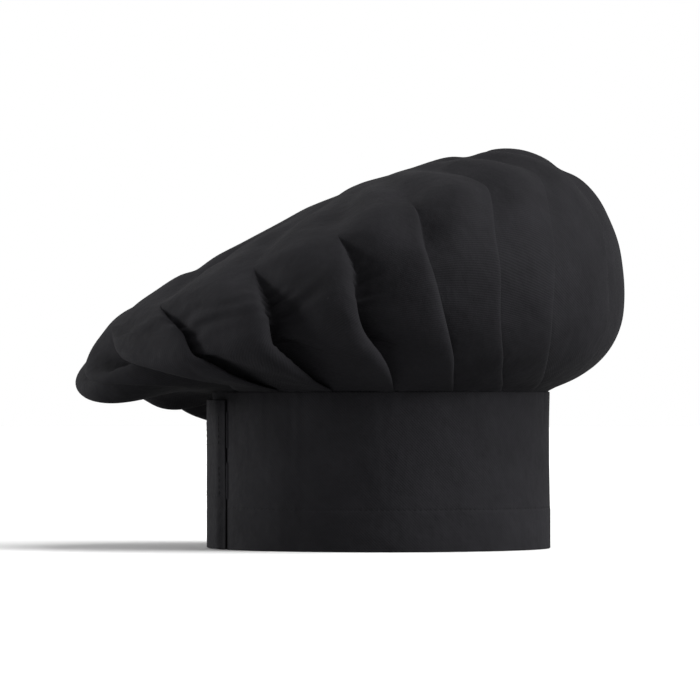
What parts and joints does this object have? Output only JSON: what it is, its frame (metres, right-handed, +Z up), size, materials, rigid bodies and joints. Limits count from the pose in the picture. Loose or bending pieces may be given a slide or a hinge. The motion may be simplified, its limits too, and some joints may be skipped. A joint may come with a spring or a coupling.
{
  "type": "chef toque",
  "caption": "Floppy black chef's toque: a full round crown pleated into a stiffened head band that closes at the back with a hook-and-loop tab.",
  "frame": {"origin": "centre of the head opening, in the plane that the band's lower edge rests on", "axes": "+Z up the band's axis towards the crown, +X towards the wearer's forehead, so the closing tab is at -X"},
  "size_m": [0.3015, 0.292, 0.2225],
  "materials": {
    "black_twill": "matt polyester-cotton twill",
    "interfacing": "non-woven stiffener",
    "loop_tape": "fuzzy loop pile",
    "hook_tape": "moulded nylon hooks",
    "thread": "spun polyester thread",
    "label": "woven satin, blank"
  },
  "bodies": {
    "toque": {"crown_panel": "black_twill", "band_outer": "black_twill", "band_interfacing": "interfacing", "band_lining": "black_twill", "hem_stitching": "thread", "crown_seam_stitching": "thread", "lower_loop_tape": "loop_tape", "upper_loop_tape": "loop_tape", "loop_tape_stitching": "thread", "care_label": "label", "label_stitching": "thread", "bar_tacks": "thread"},
    "closing_tab": {"tab_outer": "black_twill", "tab_interfacing": "interfacing", "tab_lining": "black_twill", "lower_hook_tape": "hook_tape", "upper_hook_tape": "hook_tape", "hook_tape_stitching": "thread", "tab_hem_stitching": "thread"}
  },
  "joints": [
    {"name": "tab_peel", "type": "hinge", "parent": "toque", "child": "closing_tab", "pos_m": [-0.09546, 0.01856, 0.0415], "axis": [0, 0, -1], "range_deg": [0, 110]}
  ]
}
